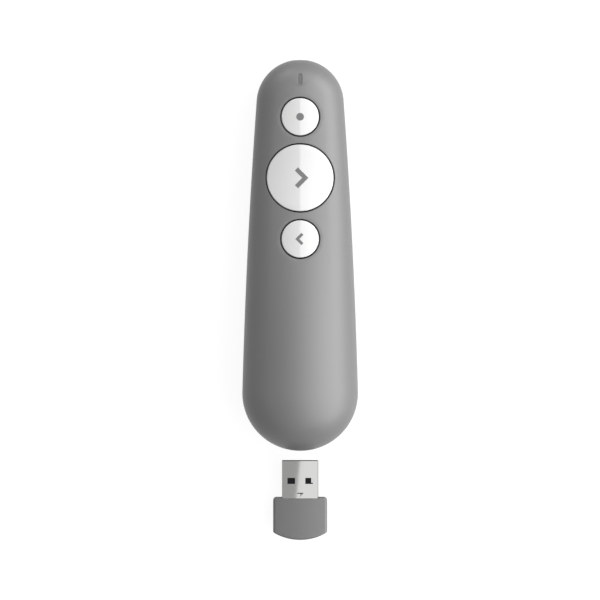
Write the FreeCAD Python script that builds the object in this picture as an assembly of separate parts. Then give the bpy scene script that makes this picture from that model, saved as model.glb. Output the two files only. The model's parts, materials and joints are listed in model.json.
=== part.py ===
# Wireless presentation clicker with its USB receiver, in millimetres.
# +Y points to the nose, +X to the right, +Z up. The surface it lies on is z = 0, and the origin is
# on that surface, under the middle of the clicker and receiver together.
import FreeCAD, Part
import math
import os

from FreeCAD import Vector
from functools import lru_cache

# Outline of the casing from above: a nose circle, a tail circle and two slightly bowed sides
nose_tip_y = 79.2
body_length = 129.1
nose_radius = 14.4
tail_radius = 19.1
side_bow_radius = 2100.0

# Height of the casing above and below its parting plane, and the rounding of its sides
parting_z = 11.0
top_rise_nose = 10.2
top_rise_tail = 15.3
top_round_nose = 9.5
top_round_tail = 14.2
belly_drop_nose = 6.8
belly_drop_tail = 11.9
belly_round_nose = 6.2
belly_round_tail = 10.0
belly_slope_length = 42.0

# Casing walls
wall = 1.8
weld = 0.2
tongue_height = 1.5
tongue_thickness = 1.0
tongue_gap = 0.15
seat_gap = 0.1

# Keys
small_key_radius = 6.15
next_key_radius = 11.0
laser_key_y = 60.3
next_key_y = 40.15
back_key_y = 20.0
key_gap = 0.45
key_proud = 0.3
key_travel = 0.6
next_key_dip = 0.75
next_key_dip_reach = 8.8
next_key_dip_bow = 43.0
cap_edge = 0.75
cap_round = 0.25
key_skirt_wall = 1.1
key_deck = 0.8
flange_lap = 0.9
flange_thickness = 0.8
flange_gap = 0.2
flange_half_width = 4.0
post_radius = 1.2
small_hole_round = 0.9

# Marks let into the caps
mark_depth = 0.5
dot_radius = 1.27
next_mark_height = 6.9
next_mark_stroke = 1.48
next_mark_shift = 0.5
back_mark_height = 4.07
back_mark_stroke = 0.95
back_mark_shift = 0.25

# Circuit board and what stands on it
board_bottom_z = 14.2
board_thickness = 1.1
board_inset = 3.2
board_back_y = 8.0
switch_side = 6.0
switch_height = 2.4
switch_button_radius = 1.7
switch_button_proud = 0.8
switch_button_depth = 1.0
running_gap = 0.08
chip_side = 5.0
chip_height = 0.9
chip_y = 44.0
crystal_length = 3.2
crystal_width = 2.5
crystal_height = 0.7
crystal_x = 6.0
antenna_length = 7.0
antenna_width = 2.0
antenna_height = 0.8
antenna_x = -7.0
antenna_y = 62.0
led_length = 3.2
led_width = 1.6
led_height = 0.8

# Indicator light
light_y = 72.7
light_length = 3.7
light_width = 1.35
light_depth = 0.15
light_fit = 0.05
light_foot_lap = 0.6
light_foot_thickness = 0.4

# Laser
laser_lift = 0.0
port_radius = 2.1
window_recess = 0.05
window_fit = 0.05
window_flange_lap = 0.6
window_flange_thickness = 0.6
barrel_radius = 2.8
barrel_bore_radius = 1.9
barrel_length = 9.6
lens_thickness = 1.2
lens_setback = 0.4
diode_flange_thickness = 1.2
diode_can_radius = 1.7
diode_can_length = 3.0
flex_width = 4.0
flex_thickness = 0.3
flex_run = 6.0
saddle_half_width = 4.4
saddle_thickness = 1.5

# Screws
case_screw_x = 9.5
case_screw_y = 54.0
case_screw_seat_z = 6.6
case_head_radius = 2.1
case_head_height = 1.4
case_shank_radius = 0.9
case_screw_top_z = 16.5
case_boss_wall = 0.9
board_screw_places = [(11.0, 27.0), (8.0, 67.5)]
board_head_radius = 1.7
board_head_height = 0.7
board_shank_radius = 0.7
board_shank_length = 3.6
board_post_radius = 2.0
thread_fit = 0.02
head_clearance = 0.3
head_slot_width = 0.5
head_slot_depth = 0.4

# Cells and their cradle
cell_radius = 5.25
cell_length = 44.5
cell_nub_radius = 1.9
cell_nub_length = 0.8
cell_edge_round = 0.5
cell_spacing = 10.9
cell_z = 7.4
bay_back_y = -15.5
contact_thickness = 0.4
leaf_reach = 2.7
leaf_width = 4.0
leaf_height = 6.0
leaf_thickness = 0.3
contact_half_height = 3.5
contact_width = 8.0
cradle_wall = 1.1
cell_clearance = 0.25

# Battery door
door_thickness = 1.6
door_gap = 0.25
door_seat_lap = 1.2
door_seat_thickness = 1.2
door_corner = 3.0
hook_x = 6.0
hook_width = 4.0
hook_height = 0.95
hook_lift = 0.45
hook_reach = 1.3
hook_thickness = 1.2
catch_width = 8.0
catch_height = 2.2
catch_thickness = 1.0
thumb_notch_width = 9.0
thumb_notch_depth = 0.6
thumb_notch_length = 2.4

# Receiver
grip_width = 17.84
grip_length = 14.4
grip_height = 7.2
grip_wall = 1.2
grip_corner = 1.1
grip_end_radius = 19.2
grip_end_corner = 1.2
grip_edge_round = 0.9
grip_crown_radius = 70.0
grip_split_z = 3.6
grip_recess = 0.5
plug_width = 12.0
plug_height = 4.5
plug_reach = 12.1
plug_z = 4.3
plug_sheet = 0.3
plug_edge_round = 0.3
plug_lip_round = 0.25
plug_anchor = 3.5
window_x = 2.95
window_width = 2.5
window_length = 2.0
window_setback = 6.85
window_leaf_width = 0.55
window_leaf_gap = 0.4
notch_width = 2.3
notch_length = 1.4
notch_setback = 0.6
notch_tilt_degrees = 9.0
tongue_plate_thickness = 1.9
tongue_plate_setback = 0.8
tongue_plate_fit = 0.1
pin_count = 4
pin_pitch = 2.3
pin_width = 1.1
pin_length = 7.5
pin_thickness = 0.1
pin_setback = 1.2
stick_board_thickness = 0.8
stick_board_length = 8.0
stick_board_fit = 0.3
stick_chip_side = 3.0
stick_chip_height = 0.8
rest_gap = 3.1

# Dock in the tail
dock_gap = 0.25
dock_wall = 1.1
dock_end_gap = 0.5

overrun = 5.0
section_count = 6

# Places worked out from the sizes above
nose_axis_y = nose_tip_y - nose_radius
tail_tip_y = nose_tip_y - body_length
tail_axis_y = tail_tip_y + tail_radius
axis_span = nose_axis_y - tail_axis_y
mean_axis_y = (nose_axis_y + tail_axis_y) / 2
radius_step = tail_radius - nose_radius
radius_sum = tail_radius + nose_radius
bow_centre_y = mean_axis_y - radius_step * (2 * side_bow_radius - radius_sum) / (2 * axis_span)
bow_centre_x = -math.sqrt((side_bow_radius - nose_radius) ** 2 - (nose_axis_y - bow_centre_y) ** 2)

HALVES = {
    "top": {"nose": (top_rise_nose, top_round_nose), "tail": (top_rise_tail, top_round_tail),
            "reach": axis_span, "side": 1},
    "belly": {"nose": (belly_drop_nose, belly_round_nose), "tail": (belly_drop_tail, belly_round_tail),
              "reach": belly_slope_length, "side": -1},
}

laser_z = parting_z + laser_lift
board_top_z = board_bottom_z + board_thickness
switch_top_z = board_top_z + switch_height
switch_button_top_z = switch_top_z + switch_button_proud

bay_front_y = bay_back_y + 2 * contact_thickness + cell_length + leaf_reach
opening_half_width = cell_spacing / 2 + cell_radius + cell_clearance
door_half_width = opening_half_width + door_seat_lap
hook_y = bay_back_y - cradle_wall - head_clearance - hook_thickness
door_back_y = hook_y - door_gap - door_seat_lap
catch_y = bay_front_y + cradle_wall + head_clearance
door_front_y = catch_y + catch_thickness + door_gap + door_seat_lap
seat_inset = door_thickness + seat_gap
seat_top_inset = seat_inset + door_seat_thickness

tail_round_at_grip = math.sqrt(belly_round_tail ** 2 - (parting_z - grip_height) ** 2)
docked_end_y = tail_axis_y - (tail_radius - belly_round_tail) - tail_round_at_grip
rest_end_y = tail_tip_y - rest_gap - plug_reach - grip_length
dock_travel = docked_end_y - rest_end_y
tongue_top_z = plug_z + plug_height / 2 - plug_sheet - tongue_plate_fit
pins_top_z = tongue_top_z - tongue_plate_thickness
docked_face_y = docked_end_y + grip_length
docked_tip_y = docked_face_y + plug_reach


def smooth(share):
    # eases from 0 to 1 with no slope at either end
    share = min(max(share, 0.0), 1.0)
    return 3 * share ** 2 - 2 * share ** 3


def station(name, y, inset):
    # half width, height and side rounding of one half of the casing at y
    half = HALVES[name]
    share = smooth((nose_axis_y - y) / half["reach"])
    rise = half["nose"][0] + share * (half["tail"][0] - half["nose"][0]) - inset
    rounding = half["nose"][1] + share * (half["tail"][1] - half["nose"][1]) - inset
    width = side_bow_radius - math.hypot(bow_centre_x, y - bow_centre_y) - inset
    return width, rise, rounding


def crown(name, y, inset):
    # radius of the flatter arc over the middle, and where it meets the side rounding
    width, rise, rounding = station(name, y, inset)
    centre_x = width - rounding
    radius = (centre_x ** 2 + rise ** 2 - rounding ** 2) / (2 * (rise - rounding))
    reach = math.hypot(centre_x, radius - rise)
    meet_x = radius * centre_x / reach
    return radius, meet_x


def height_at(name, x, y, inset):
    # height of the surface at distance x from the spine
    width, rise, rounding = station(name, min(y, nose_axis_y), inset)
    radius, meet_x = crown(name, min(y, nose_axis_y), inset)
    across = math.hypot(x, max(y - nose_axis_y, 0.0))
    if across < meet_x:
        height = math.sqrt(radius ** 2 - across ** 2) - (radius - rise)
    else:
        height = math.sqrt(max(rounding ** 2 - (across - width + rounding) ** 2, 0.0))
    return parting_z + HALVES[name]["side"] * height


def heading(y, side):
    # unit direction from the spine at y, square to the outline
    run_x = -bow_centre_x
    run_y = y - bow_centre_y
    length = math.hypot(run_x, run_y)
    return side * run_x / length, run_y / length


def section(name, y, inset, towards):
    # closed half section from the spine out to the side and back over the crown
    width, rise, rounding = station(name, y, inset)
    radius, meet_x = crown(name, y, inset)
    centre_x = width - rounding
    meet_z = math.sqrt(rounding ** 2 - (meet_x - centre_x) ** 2)
    side_angle = math.atan2(meet_z, meet_x - centre_x) / 2
    crown_angle = math.asin(meet_x / radius) / 2

    def at(out, up):
        return Vector(out * towards[0], y + out * towards[1], parting_z + HALVES[name]["side"] * up)

    foot, rim = at(0, 0), at(width, 0)
    side_middle = at(centre_x + rounding * math.cos(side_angle), rounding * math.sin(side_angle))
    meet = at(meet_x, meet_z)
    crown_middle = at(radius * math.sin(crown_angle), radius * math.cos(crown_angle) - radius + rise)
    ridge = at(0, rise)
    return Part.Wire([
        Part.LineSegment(foot, rim).toShape(),
        Part.Arc(rim, side_middle, meet).toShape(),
        Part.Arc(meet, crown_middle, ridge).toShape(),
        Part.LineSegment(ridge, foot).toShape(),
    ])


@lru_cache(maxsize=None)
def half_hull(name, inset):
    # solid of the upper or lower half of the casing, drawn in by inset
    pieces = []
    for side in (1, -1):
        sections = []
        for step in range(section_count + 1):
            y = nose_axis_y - axis_span * step / section_count
            sections.append(section(name, y, inset, heading(y, side)))
        pieces.append(Part.makeLoft(sections, True, False))
    lean = math.degrees(math.atan2(heading(nose_axis_y, 1)[1], heading(nose_axis_y, 1)[0]))
    nose = Part.Face(section(name, nose_axis_y, inset, heading(nose_axis_y, 1)))
    pieces.append(nose.revolve(Vector(0, nose_axis_y, 0), Vector(0, 0, 1), 180 - 2 * lean))
    lean = math.degrees(math.atan2(heading(tail_axis_y, 1)[1], heading(tail_axis_y, 1)[0]))
    tail = Part.Face(section(name, tail_axis_y, inset, heading(tail_axis_y, -1)))
    pieces.append(tail.revolve(Vector(0, tail_axis_y, 0), Vector(0, 0, 1), 180 + 2 * lean))
    return pieces[0].fuse(pieces[1:]).removeSplitter()


def block(x0, x1, y0, y1, z0, z1):
    return Part.makeBox(x1 - x0, y1 - y0, z1 - z0, Vector(x0, y0, z0))


def peg(x, y, z0, z1, radius):
    return Part.makeCylinder(radius, z1 - z0, Vector(x, y, z0))


def rod(z, y0, y1, radius):
    # round bar along Y on the middle plane
    return Part.makeCylinder(radius, y1 - y0, Vector(0, y0, z), Vector(0, 1, 0))


def rounded_block(half_width, y0, y1, z0, z1, corner):
    # block with rounded upright corners
    solid = block(-half_width, half_width, y0, y1, z0, z1)
    return solid.makeFillet(corner, [edge for edge in solid.Edges if is_upright(edge)])


def is_upright(edge):
    run = edge.lastVertex().Point - edge.firstVertex().Point
    return abs(run.z) > abs(run.x) + abs(run.y)


def obround(length, width, y, z0, z1):
    # slot shape, long way along Y
    middle = block(-width / 2, width / 2, y - (length - width) / 2, y + (length - width) / 2, z0, z1)
    ends = [peg(0, y + sign * (length - width) / 2, z0, z1, width / 2) for sign in (1, -1)]
    return middle.fuse(ends).removeSplitter()


@lru_cache(maxsize=None)
def belly(inset):
    # lower half of the casing, with the flat that it rests on
    solid = half_hull("belly", inset)
    return solid.common(block(-tail_radius, tail_radius, tail_tip_y, nose_tip_y, inset, parting_z))


top_outer = half_hull("top", 0)
top_inner = half_hull("top", wall)
top_weld = half_hull("top", wall - weld)
belly_outer = belly(0)
belly_inner = belly(wall)
belly_weld = belly(wall - weld)
belly_seat = belly(seat_inset)
belly_seat_top = belly(seat_top_inset)
belly_fit = belly(seat_top_inset + seat_gap)

KEYS = {
    "laser_key": {"y": laser_key_y, "radius": small_key_radius, "hollow": None, "mark": None},
    "next_key": {"y": next_key_y, "radius": next_key_radius,
                 "hollow": (next_key_dip, next_key_dip_reach),
                 "mark": (next_mark_height, next_mark_stroke, next_mark_shift, 1)},
    "back_key": {"y": back_key_y, "radius": small_key_radius, "hollow": None,
                 "mark": (back_mark_height, back_mark_stroke, -back_mark_shift, -1)},
}
tall = parting_z + top_rise_tail + overrun


def case_screw_columns(z0, z1, radius):
    return [peg(side * case_screw_x, case_screw_y, z0, z1, radius) for side in (1, -1)]


def board_screw_columns(z0, z1, radius):
    return [peg(side * x, y, z0, z1, radius) for x, y in board_screw_places for side in (1, -1)]


def edge_points(edge):
    first, last = edge.ParameterRange
    return [edge.valueAt(first), edge.valueAt((first + last) / 2), edge.valueAt(last)]


def wall_edges(solid, key, radius):
    # edges that run round an upright wall about a key's axis
    return [edge for edge in solid.Edges
            if not edge.Degenerated and not is_upright(edge)
            and all(abs(math.hypot(point.x, point.y - key["y"]) - radius) < seat_gap
                    for point in edge_points(edge))]


def hole_rim(solid, key):
    # outer edges of the hole that one key stands in
    return [edge for edge in wall_edges(solid, key, key["radius"] + key_gap)
            if all(point.z > height_at("top", point.x, point.y, wall / 2)
                   for point in edge_points(edge))]


def top_shell():
    shell = top_outer.cut(top_inner)
    posts = case_screw_columns(parting_z, tall, case_shank_radius + case_boss_wall)
    posts += board_screw_columns(board_top_z, tall, board_post_radius)
    for post in posts:
        shell = shell.fuse(post.common(top_weld))
    for key in KEYS.values():
        shell = shell.cut(peg(0, key["y"], parting_z, tall, key["radius"] + key_gap))
    for name in ("laser_key", "back_key"):
        shell = shell.makeFillet(small_hole_round, hole_rim(shell, KEYS[name]))
    shell = shell.cut(obround(light_length, light_width, light_y, parting_z, tall))
    shell = shell.cut(rod(laser_z, nose_axis_y, nose_tip_y + overrun, port_radius))
    holes = case_screw_columns(parting_z - overrun, case_screw_top_z + head_clearance,
                               case_shank_radius + thread_fit)
    holes += board_screw_columns(board_top_z - overrun, board_bottom_z + board_shank_length
                                 + head_clearance, board_shank_radius + thread_fit)
    return shell.cut(holes).removeSplitter()


def door_prism(half_width, y0, y1, corner):
    return rounded_block(half_width, y0, y1, -overrun, parting_z - overrun, corner)


def bottom_shell():
    shell = belly_outer.cut(belly_inner)
    # tongue that stands up inside the top shell
    root = belly_weld.cut(half_hull("belly", wall + tongue_gap + tongue_thickness))
    root = root.common(block(-tail_radius, tail_radius, tail_tip_y, nose_tip_y,
                             parting_z - tongue_height, parting_z))
    rim = half_hull("top", wall + tongue_gap).cut(half_hull("top", wall + tongue_gap + tongue_thickness))
    rim = rim.common(block(-tail_radius, tail_radius, tail_tip_y, nose_tip_y,
                           parting_z, parting_z + tongue_height))
    shell = shell.fuse([root, rim])
    # frame that the battery door closes against
    frame = belly_seat.cut(belly_seat_top)
    frame = frame.common(door_prism(door_half_width + door_seat_lap, door_back_y - door_seat_lap,
                                    door_front_y + door_seat_lap, door_corner + door_seat_lap))
    shell = shell.fuse(frame)
    shell = shell.cut(door_prism(door_half_width + door_gap, door_back_y - door_gap,
                                 door_front_y + door_gap, door_corner).cut(belly_seat))
    shell = shell.cut(door_prism(opening_half_width, door_back_y + door_seat_lap,
                                 door_front_y - door_seat_lap, door_corner - door_seat_lap))
    # bosses for the case screws, and the saddle that holds the laser
    for boss in case_screw_columns(0, parting_z, case_head_radius + head_clearance + case_boss_wall):
        shell = shell.fuse(boss.common(belly_weld))
    for y in (barrel_back_y() + saddle_thickness, barrel_front_y() - 2 * saddle_thickness):
        rib = block(-saddle_half_width, saddle_half_width, y, y + saddle_thickness, 0, laser_z)
        shell = shell.fuse(rib.common(belly_weld))
    shell = shell.cut(rod(laser_z, barrel_back_y() - overrun, window_back_y(), barrel_radius + seat_gap))
    shell = shell.cut(rod(laser_z, nose_axis_y, nose_tip_y + overrun, port_radius))
    shell = shell.cut(case_screw_columns(-overrun, case_screw_seat_z, case_head_radius + head_clearance))
    shell = shell.cut(case_screw_columns(0, tall, case_shank_radius + head_clearance))
    # mouth of the receiver dock
    return shell.cut(grip_pocket())


def grip_pocket():
    half = grip_width / 2 + dock_gap
    return block(-half, half, tail_tip_y - overrun, docked_face_y + dock_gap,
                 -overrun, grip_height + dock_gap)


def dock_sleeve():
    # pocket for the grip, with a narrower pocket for the plug in front of it
    half = grip_width / 2 + dock_gap + dock_wall
    sleeve = block(-half, half, tail_tip_y, docked_face_y + dock_gap + dock_wall,
                   wall, grip_height + dock_gap + dock_wall)
    half = plug_width / 2 + dock_gap + dock_wall
    front_y = docked_tip_y + dock_end_gap + dock_wall
    plug_top = plug_z + plug_height / 2 + dock_gap
    sleeve = sleeve.fuse(block(-half, half, docked_face_y, front_y, wall, plug_top + dock_wall))
    sleeve = sleeve.common(belly(wall + seat_gap))
    half = plug_width / 2 + dock_gap
    plug_pocket = block(-half, half, docked_face_y - overrun, docked_tip_y + dock_end_gap, 0, plug_top)
    return sleeve.cut([grip_pocket(), plug_pocket]).removeSplitter()


def battery_door():
    door = belly_outer.cut(belly(door_thickness))
    door = door.common(door_prism(door_half_width, door_back_y, door_front_y, door_corner - door_gap))
    hook_z = seat_top_inset + hook_lift
    parts = []
    for side in (1, -1):
        x = side * hook_x
        parts.append(block(x - hook_width / 2, x + hook_width / 2, hook_y, hook_y + hook_thickness,
                           door_thickness / 2, hook_z + hook_height))
        parts.append(block(x - hook_width / 2, x + hook_width / 2, hook_y - hook_reach,
                           hook_y + hook_thickness, hook_z, hook_z + hook_height))
    catch_z = height_at("belly", 0, catch_y, 0)
    parts.append(block(-catch_width / 2, catch_width / 2, catch_y, catch_y + catch_thickness,
                       catch_z + door_thickness / 2, catch_z + door_thickness + catch_height))
    door = door.fuse(parts)
    # shallow scoop for a thumb nail by the catch
    scoop_y = door_front_y - 2 * thumb_notch_length
    scoop_z = height_at("belly", 0, scoop_y, thumb_notch_depth)
    scoop = block(-thumb_notch_width / 2, thumb_notch_width / 2, scoop_y,
                  scoop_y + thumb_notch_length, -overrun, scoop_z)
    return door.cut(scoop).removeSplitter()


def battery_cradle():
    half = opening_half_width + cradle_wall
    roof_z = cell_z + cell_radius + cell_clearance
    tray = block(-half, half, bay_back_y - cradle_wall, bay_front_y + cradle_wall,
                 0, roof_z + cradle_wall)
    tray = tray.cut(block(-opening_half_width, opening_half_width, bay_back_y, bay_front_y,
                          -overrun, roof_z))
    rib_half = cell_spacing / 2 - cell_radius - running_gap
    rib = block(-rib_half, rib_half, bay_back_y + contact_thickness, bay_front_y - contact_thickness,
                cell_z + cell_radius / 2, roof_z)
    tray = tray.fuse(rib).common(belly_fit.fuse(top_inner))
    tray = tray.cut(board_screw_columns(board_bottom_z - board_head_height - head_clearance, tall,
                                        board_head_radius + head_clearance))
    for side in (1, -1):
        # room for the door hooks, and slots for the contact tails
        x = side * hook_x
        room = hook_width / 2 + head_clearance
        tray = tray.cut(block(x - room, x + room, bay_back_y - cradle_wall - overrun, bay_back_y
                              + overrun, -overrun, seat_top_inset + hook_lift + 2 * hook_height))
        x = side * cell_spacing / 2
        room = leaf_width / 2 + seat_gap
        tray = tray.cut(block(x - room, x + room, bay_front_y - contact_thickness - seat_gap,
                              bay_front_y, cell_z, tall))
    return tray.removeSplitter()


def cell(side):
    # one cell; its nub points to the nose on the left and to the tail on the right
    x = side * cell_spacing / 2
    if side > 0:
        nub_y, direction = bay_back_y + contact_thickness, Vector(0, 1, 0)
    else:
        nub_y, direction = bay_front_y - contact_thickness, Vector(0, -1, 0)
    start = Vector(x, nub_y, cell_z)
    nub = Part.makeCylinder(cell_nub_radius, cell_nub_length, start, direction)
    can = Part.makeCylinder(cell_radius, cell_length - cell_nub_length,
                            start + direction * cell_nub_length, direction)
    rims = [edge for edge in can.Edges if edge.Closed]
    return can.makeFillet(cell_edge_round, rims).fuse(nub).removeSplitter()


def leaf(side, plate_y, direction):
    # bowed strip that presses on the flat end of a cell
    x = side * cell_spacing / 2
    bow_radius = ((leaf_height / 2) ** 2 + leaf_reach ** 2) / (2 * leaf_reach)
    inner_radius = bow_radius - leaf_thickness
    centre_y = plate_y + direction * (leaf_reach - bow_radius)
    ring = Part.makeCylinder(bow_radius, leaf_width, Vector(x - leaf_width / 2, centre_y, cell_z),
                             Vector(1, 0, 0))
    ring = ring.cut(Part.makeCylinder(inner_radius, leaf_width,
                                      Vector(x - leaf_width / 2, centre_y, cell_z), Vector(1, 0, 0)))
    near_y = min(plate_y, plate_y + direction * leaf_reach)
    return ring.common(block(x - leaf_width / 2, x + leaf_width / 2, near_y, near_y + leaf_reach,
                             cell_z - leaf_height, cell_z + leaf_height))


def contact_plate(x0, x1, y0, z1):
    return block(x0, x1, y0, y0 + contact_thickness, cell_z - contact_half_height, z1)


def battery_leaf_contacts():
    # a plate for the left cell's nub, and a plate with a leaf for the right cell's flat end
    y0 = bay_front_y - contact_thickness
    plates = []
    for side in (1, -1):
        x = side * cell_spacing / 2
        plate = contact_plate(x - contact_width / 2, x + contact_width / 2, y0,
                              cell_z + contact_half_height)
        tail = contact_plate(x - leaf_width / 2, x + leaf_width / 2, y0, board_bottom_z)
        plates.append(plate.fuse(tail).removeSplitter())
    plates[0] = plates[0].fuse(leaf(1, y0, -1)).removeSplitter()
    return Part.makeCompound(plates)


def battery_bridge_contact():
    plate = contact_plate(-cell_spacing / 2 - contact_width / 2, cell_spacing / 2 + contact_width / 2,
                          bay_back_y, cell_z + contact_half_height)
    return plate.fuse(leaf(-1, bay_back_y + contact_thickness, 1)).removeSplitter()


def board_outline(inset, y_back):
    # plan outline of the casing, drawn in by inset and cut straight at the back
    radius = nose_radius - inset
    turn = heading(nose_axis_y, 1)
    corner_x = side_bow_radius - inset
    back_x = bow_centre_x + math.sqrt(corner_x ** 2 - (y_back - bow_centre_y) ** 2)
    middle_y = (nose_axis_y + y_back) / 2
    middle_x = bow_centre_x + math.sqrt(corner_x ** 2 - (middle_y - bow_centre_y) ** 2)

    def shoulder(side):
        return Vector(side * radius * turn[0], nose_axis_y + radius * turn[1], 0)

    tip = Vector(0, nose_axis_y + radius, 0)
    back_right, back_left = Vector(back_x, y_back, 0), Vector(-back_x, y_back, 0)
    return Part.Face(Part.Wire([
        Part.Arc(back_right, Vector(middle_x, middle_y, 0), shoulder(1)).toShape(),
        Part.Arc(shoulder(1), tip, shoulder(-1)).toShape(),
        Part.Arc(shoulder(-1), Vector(-middle_x, middle_y, 0), back_left).toShape(),
        Part.LineSegment(back_left, back_right).toShape(),
    ]))


def main_board():
    face = board_outline(board_inset, board_back_y)
    face.translate(Vector(0, 0, board_bottom_z))
    board = face.extrude(Vector(0, 0, board_thickness))
    boss_room = case_head_radius + head_clearance + case_boss_wall
    board = board.cut(case_screw_columns(0, tall, boss_room))
    return board.cut(board_screw_columns(0, tall, board_shank_radius + head_clearance))


def switch_body(key):
    half = switch_side / 2
    body = block(-half, half, key["y"] - half, key["y"] + half, board_top_z, switch_top_z)
    well_z = switch_top_z - switch_button_depth - key_travel - running_gap
    return body.cut(peg(0, key["y"], well_z, tall, switch_button_radius + running_gap))


def switch_button(key):
    return peg(0, key["y"], switch_top_z - switch_button_depth, switch_button_top_z,
               switch_button_radius)


def cap_low_z(key):
    # flat underside of the white cap, a little below the lowest point of its rim
    return height_at("top", key["radius"], key["y"], -key_proud) - cap_edge


def cap_blank(key, above):
    # the cap, raised by above; the large one has a trough that bows from side to side, square to
    # its slope
    radius = key["radius"]
    blank = peg(0, key["y"], cap_low_z(key), tall, radius).common(half_hull("top", -above))
    if key["hollow"] is None:
        return blank
    dip, reach = key["hollow"]
    bow_radius = (reach ** 2 + dip ** 2) / (2 * dip)
    front_z, middle_z, back_z = [height_at("top", 0, key["y"] + step, -above)
                                 for step in (radius, 0, -radius)]
    lean = math.atan2(front_z - back_z, 2 * radius)
    outward = Vector(0, -math.sin(lean), math.cos(lean))
    centre = Vector(0, key["y"], middle_z - dip) - outward * next_key_dip_bow
    return blank.cut(Part.makeTorus(next_key_dip_bow + bow_radius, bow_radius, centre,
                                    Vector(0, math.cos(lean), math.sin(lean))))


def mark_prism(key):
    # upright prism of the mark: a dot, or a chevron of two square-ended strokes at 45 degrees
    if key["mark"] is None:
        return peg(0, key["y"], 0, tall, dot_radius)
    height, stroke, shift, side = key["mark"]
    reach = height / 2
    square = stroke / math.sqrt(2)
    tip_x = side * (reach + square) / 2 + shift
    upper = [(tip_x, 0), (tip_x - side * reach, reach),
             (tip_x - side * (reach + square), reach - square), (tip_x - side * 2 * square, 0)]
    lower = [(x, -y) for x, y in reversed(upper)][1:-1]
    points = [Vector(x, key["y"] + y, 0) for x, y in upper + lower]
    face = Part.Face(Part.makePolygon(points + [points[0]]))
    return face.extrude(Vector(0, 0, tall))


def key_cap_and_mark(key):
    cap = cap_blank(key, key_proud)
    rim = [edge for edge in wall_edges(cap, key, key["radius"])
           if edge.BoundBox.ZMax > cap_low_z(key) + cap_round]
    cap = cap.makeFillet(cap_round, rim)
    prism = mark_prism(key)
    mark = cap.common(prism).cut(cap_blank(key, key_proud - mark_depth))
    return cap.cut(mark), mark


def key_base(key):
    # black moulding under the cap: deck, skirt, two flanges and the post over the switch
    top_z = cap_low_z(key)
    flange_radius = key["radius"] + key_gap + flange_lap
    flange_top_z = flange_z(key, flange_radius)
    low_z = flange_top_z - flange_thickness
    drum = peg(0, key["y"], low_z, top_z, key["radius"])
    drum = drum.cut(peg(0, key["y"], low_z, top_z - key_deck, key["radius"] - key_skirt_wall))
    flange = peg(0, key["y"], low_z, flange_top_z, flange_radius)
    flange = flange.cut(peg(0, key["y"], low_z, flange_top_z, key["radius"] - key_skirt_wall))
    flange = flange.common(block(-flange_half_width, flange_half_width, key["y"] - flange_radius,
                                 key["y"] + flange_radius, low_z, flange_top_z))
    post = peg(0, key["y"], switch_button_top_z, top_z - key_deck / 2, post_radius)
    return drum.fuse([flange, post]).removeSplitter()


def flange_z(key, radius):
    # the flange stops under the lowest part of the casing's inside that it meets
    reach = math.sqrt(radius ** 2 - flange_half_width ** 2)
    heights = [height_at("top", flange_half_width, key["y"] + side * reach, wall) for side in (1, -1)]
    heights += [height_at("top", 0, key["y"] + side * radius, wall) for side in (1, -1)]
    return min(heights) - flange_gap


def window_back_y():
    # inside of the nose wall at the height of the laser
    depth = abs(parting_z - laser_z)
    rounding = belly_round_nose - wall
    reach = port_radius + window_flange_lap
    span = math.sqrt(rounding ** 2 - (depth + reach) ** 2)
    return nose_axis_y + nose_radius - belly_round_nose + span - seat_gap


def barrel_front_y():
    return window_back_y() - window_flange_thickness - 2 * seat_gap


def barrel_back_y():
    return barrel_front_y() - barrel_length


def nose_window():
    lens = rod(laser_z, window_back_y() - seat_gap, nose_tip_y, port_radius - window_fit)
    lens = lens.common(belly(window_recess).fuse(half_hull("top", window_recess)))
    flange = rod(laser_z, window_back_y() - window_flange_thickness - seat_gap,
                 window_back_y() - seat_gap, port_radius + window_flange_lap)
    return lens.fuse(flange).removeSplitter()


def laser_barrel():
    tube = rod(laser_z, barrel_back_y(), barrel_front_y(), barrel_radius)
    return tube.cut(rod(laser_z, barrel_back_y(), barrel_front_y(), barrel_bore_radius))


def laser_lens():
    # flat-backed lens with a domed front
    front_y = barrel_front_y() - lens_setback
    dome_radius = lens_thickness + barrel_bore_radius
    disc = rod(laser_z, front_y - lens_thickness, front_y, barrel_bore_radius - running_gap / 2)
    ball = Part.makeSphere(dome_radius, Vector(0, front_y - dome_radius, laser_z), Vector(0, 1, 0))
    return disc.common(ball)


def laser_diode():
    back_y = barrel_back_y() - diode_flange_thickness
    flange = rod(laser_z, back_y, barrel_back_y(), barrel_radius - seat_gap)
    can = rod(laser_z, back_y, barrel_back_y() + diode_can_length, diode_can_radius)
    return flange.fuse(can).removeSplitter()


def laser_flex():
    # flat lead from the back of the diode up to the underside of the board
    diode_y = barrel_back_y() - diode_flange_thickness
    half = flex_width / 2
    upright = block(-half, half, diode_y - flex_thickness, diode_y, laser_z - half, board_bottom_z)
    shelf = block(-half, half, diode_y - flex_run, diode_y, board_bottom_z - flex_thickness,
                  board_bottom_z)
    return upright.fuse(shelf).removeSplitter()


def indicator_light_pipe():
    foot_z = board_top_z + led_height + seat_gap
    bar = obround(light_length - 2 * light_fit, light_width - 2 * light_fit, light_y, foot_z, tall)
    bar = bar.common(half_hull("top", light_depth))
    foot = obround(light_length + light_foot_lap, light_width + light_foot_lap, light_y,
                   foot_z, foot_z + light_foot_thickness)
    return bar.fuse(foot).removeSplitter()


def status_led():
    return block(-led_width / 2, led_width / 2, light_y - led_length / 2, light_y + led_length / 2,
                 board_top_z, board_top_z + led_height)


def under_board(x, y, width, length, height):
    # a component soldered to the underside of the board
    return block(x - width / 2, x + width / 2, y - length / 2, y + length / 2,
                 board_bottom_z - height, board_bottom_z)


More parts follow.
